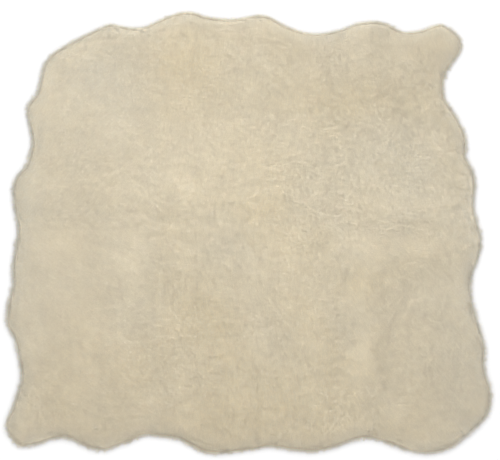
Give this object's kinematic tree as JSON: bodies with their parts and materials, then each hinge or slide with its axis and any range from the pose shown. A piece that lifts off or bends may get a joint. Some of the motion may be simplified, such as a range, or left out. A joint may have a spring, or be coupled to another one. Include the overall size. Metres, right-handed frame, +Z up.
{
  "type": "sheepskin rug",
  "caption": "Large short-wool sheepskin rug: ivory skins sewn edge to edge, lying flat, with a natural wavy outline and a soft fringe of locks all round.",
  "frame": {"origin": "on the floor under the middle of the rug's box", "axes": "+X along the longer side, +Y to the back edge, +Z up out of the wool"},
  "size_m": [1.8118, 1.6496, 0.0243],
  "materials": {
    "wool": "dense undyed ivory wool, short and soft, matt with a faint silky sheen",
    "suede": "tanned suede on the flesh side, matt"
  },
  "bodies": {
    "root": {"skin_back_left": "wool", "skin_back_middle": "wool", "skin_back_right": "wool", "skin_front_left": "wool", "skin_front_middle": "wool", "skin_front_right": "wool"}
  },
  "joints": []
}
